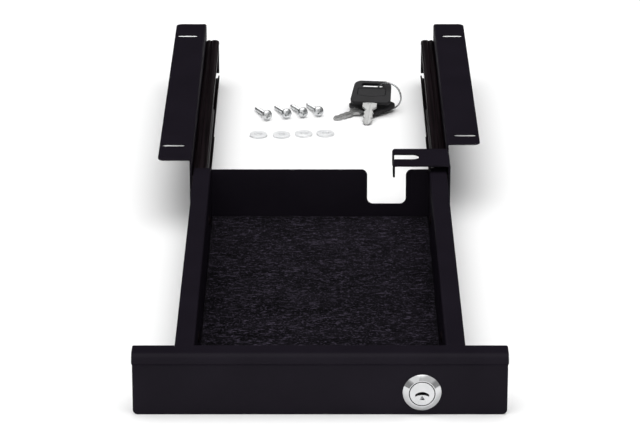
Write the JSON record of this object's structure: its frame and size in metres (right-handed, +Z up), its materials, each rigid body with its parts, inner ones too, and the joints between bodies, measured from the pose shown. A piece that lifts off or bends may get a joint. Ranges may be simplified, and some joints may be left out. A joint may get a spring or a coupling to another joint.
{
  "type": "under desk drawer safe",
  "caption": "Felt lined steel tray on ball bearing slides under two screw-on brackets, with a cam lock that turns up into a catch; shown pulled out.",
  "frame": {"origin": "middle of the footprint at the lowest edge of the brackets and front panel", "axes": "+X right and +Z up seen from the front, +Y to the rear, the way the drawer closes"},
  "size_m": [0.2428, 0.7, 0.052],
  "materials": {
    "black_steel": "black powder coat, satin",
    "black_rail": "black electroplated rail steel",
    "bright_steel": "bare bright steel",
    "chrome": "polished chrome plate",
    "felt": "charcoal needle felt",
    "black_rubber": "matte black rubber",
    "zinc": "bright zinc plate",
    "nylon": "milky white nylon",
    "key_plastic": "grey moulded plastic"
  },
  "bodies": {
    "brackets": {"left_bracket": "black_steel", "right_bracket": "black_steel", "left_outer_rail": "black_rail", "left_rail_bumper": "black_rubber", "left_bracket_rivet_front": "black_rail", "left_bracket_rivet_rear": "black_rail", "right_outer_rail": "black_rail", "right_rail_bumper": "black_rubber", "right_bracket_rivet_front": "black_rail", "right_bracket_rivet_rear": "black_rail"},
    "drawer": {"tray": "black_steel", "front_panel": "black_steel", "felt_mat": "felt", "lock_housing": "chrome", "lock_nut": "chrome", "left_inner_rail": "black_rail", "left_tray_rivet_front": "black_rail", "left_tray_rivet_rear": "black_rail", "right_inner_rail": "black_rail", "right_tray_rivet_front": "black_rail", "right_tray_rivet_rear": "black_rail", "mounting_screw_1": "zinc", "mounting_screw_2": "zinc", "mounting_screw_3": "zinc", "mounting_screw_4": "zinc", "nylon_washer_1": "nylon", "nylon_washer_2": "nylon", "nylon_washer_3": "nylon", "nylon_washer_4": "nylon", "lower_key_bow": "key_plastic", "lower_key_blade": "bright_steel", "upper_key_bow": "key_plastic", "upper_key_blade": "bright_steel", "key_ring": "bright_steel"},
    "lock_cylinder": {"lock_plug": "chrome", "lock_cam": "bright_steel", "cam_screw": "bright_steel"},
    "left_middle_rail_body": {"left_middle_rail": "black_rail"},
    "left_outer_ball_cage_body": {"left_outer_ball_cage": "bright_steel"},
    "left_inner_ball_cage_body": {"left_inner_ball_cage": "bright_steel"},
    "right_middle_rail_body": {"right_middle_rail": "black_rail"},
    "right_outer_ball_cage_body": {"right_outer_ball_cage": "bright_steel"},
    "right_inner_ball_cage_body": {"right_inner_ball_cage": "bright_steel"}
  },
  "joints": [
    {"name": "drawer_slide", "type": "slide", "parent": "brackets", "child": "drawer", "axis": [0, 1, 0], "range_m": [0, 0.33]},
    {"name": "lock_turn", "type": "hinge", "parent": "drawer", "child": "lock_cylinder", "pos_m": [0.0658, -0.34, 0.0156], "axis": [0, 1, 0], "range_deg": [0, 90]},
    {"name": "left_middle_rail_slide", "type": "slide", "parent": "brackets", "child": "left_middle_rail_body", "axis": [0, 1, 0], "range_m": [0, 0.165]},
    {"name": "left_outer_ball_cage_slide", "type": "slide", "parent": "brackets", "child": "left_outer_ball_cage_body", "axis": [0, 1, 0], "range_m": [0, 0.0825]},
    {"name": "left_inner_ball_cage_slide", "type": "slide", "parent": "brackets", "child": "left_inner_ball_cage_body", "axis": [0, 1, 0], "range_m": [0, 0.2475]},
    {"name": "right_middle_rail_slide", "type": "slide", "parent": "brackets", "child": "right_middle_rail_body", "axis": [0, 1, 0], "range_m": [0, 0.165]},
    {"name": "right_outer_ball_cage_slide", "type": "slide", "parent": "brackets", "child": "right_outer_ball_cage_body", "axis": [0, 1, 0], "range_m": [0, 0.0825]},
    {"name": "right_inner_ball_cage_slide", "type": "slide", "parent": "brackets", "child": "right_inner_ball_cage_body", "axis": [0, 1, 0], "range_m": [0, 0.2475]}
  ],
  "couplings": [
    {"joint": "left_middle_rail_slide", "follows": "drawer_slide", "ratio": 0.5},
    {"joint": "left_outer_ball_cage_slide", "follows": "drawer_slide", "ratio": 0.25},
    {"joint": "left_inner_ball_cage_slide", "follows": "drawer_slide", "ratio": 0.75},
    {"joint": "right_middle_rail_slide", "follows": "drawer_slide", "ratio": 0.5},
    {"joint": "right_outer_ball_cage_slide", "follows": "drawer_slide", "ratio": 0.25},
    {"joint": "right_inner_ball_cage_slide", "follows": "drawer_slide", "ratio": 0.75}
  ]
}
